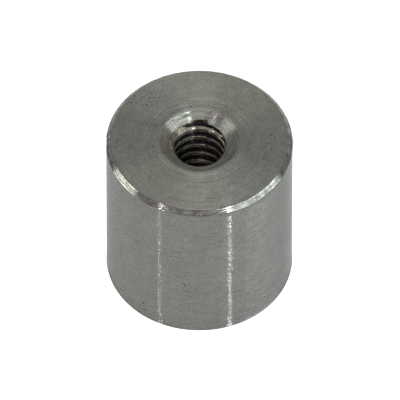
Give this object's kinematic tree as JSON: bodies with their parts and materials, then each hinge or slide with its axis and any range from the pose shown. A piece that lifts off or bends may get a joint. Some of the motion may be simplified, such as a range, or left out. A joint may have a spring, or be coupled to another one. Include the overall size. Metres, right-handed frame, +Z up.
{
  "type": "round weld nut",
  "caption": "Round weld nut: a short steel cylinder with a chamfered rim and a threaded through bore, countersunk at both mouths, to be welded on as a threaded boss.",
  "frame": {"origin": "centre of the bottom end face, where the nut stands", "axes": "+Z up along the bore axis, towards the end the screw enters; the nut is round, so +X and +Y are free"},
  "size_m": [0.019, 0.019, 0.0193],
  "materials": {
    "steel": "bare turned low-carbon steel with light tool marks"
  },
  "bodies": {
    "root": {"weld_nut": "steel"}
  },
  "joints": []
}
